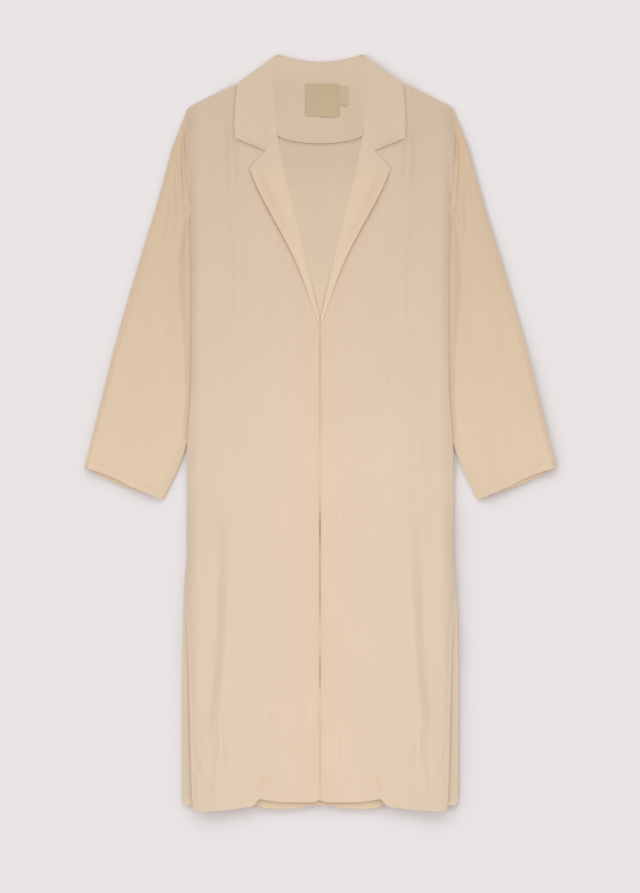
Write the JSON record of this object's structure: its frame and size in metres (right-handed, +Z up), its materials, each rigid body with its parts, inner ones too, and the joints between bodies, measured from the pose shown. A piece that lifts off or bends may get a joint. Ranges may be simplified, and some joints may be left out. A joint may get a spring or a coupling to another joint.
{
  "type": "linen coat",
  "caption": "Long open-front linen coat with a notched collar, wide straight sleeves and side vents, laid out flat on its back with the fronts edge to edge",
  "frame": {"origin": "middle of the coat's outline, on the surface that it lies on", "axes": "+Y towards the collar along the centre line, +X towards the wearer's left sleeve, +Z up through the fronts"},
  "size_m": [0.754, 1.2093, 0.0092],
  "materials": {
    "linen": "matt plain-weave linen, warm sand, fine upright slubs",
    "label_twill": "matt woven tape, olive khaki, bare"
  },
  "bodies": {
    "root": {"back": "linen", "front_left": "linen", "front_right": "linen", "sleeve_left": "linen", "sleeve_right": "linen", "collar": "linen", "lapel_left": "linen", "lapel_right": "linen", "back_neck_facing": "linen", "label": "label_twill", "size_tab": "label_twill"}
  },
  "joints": []
}
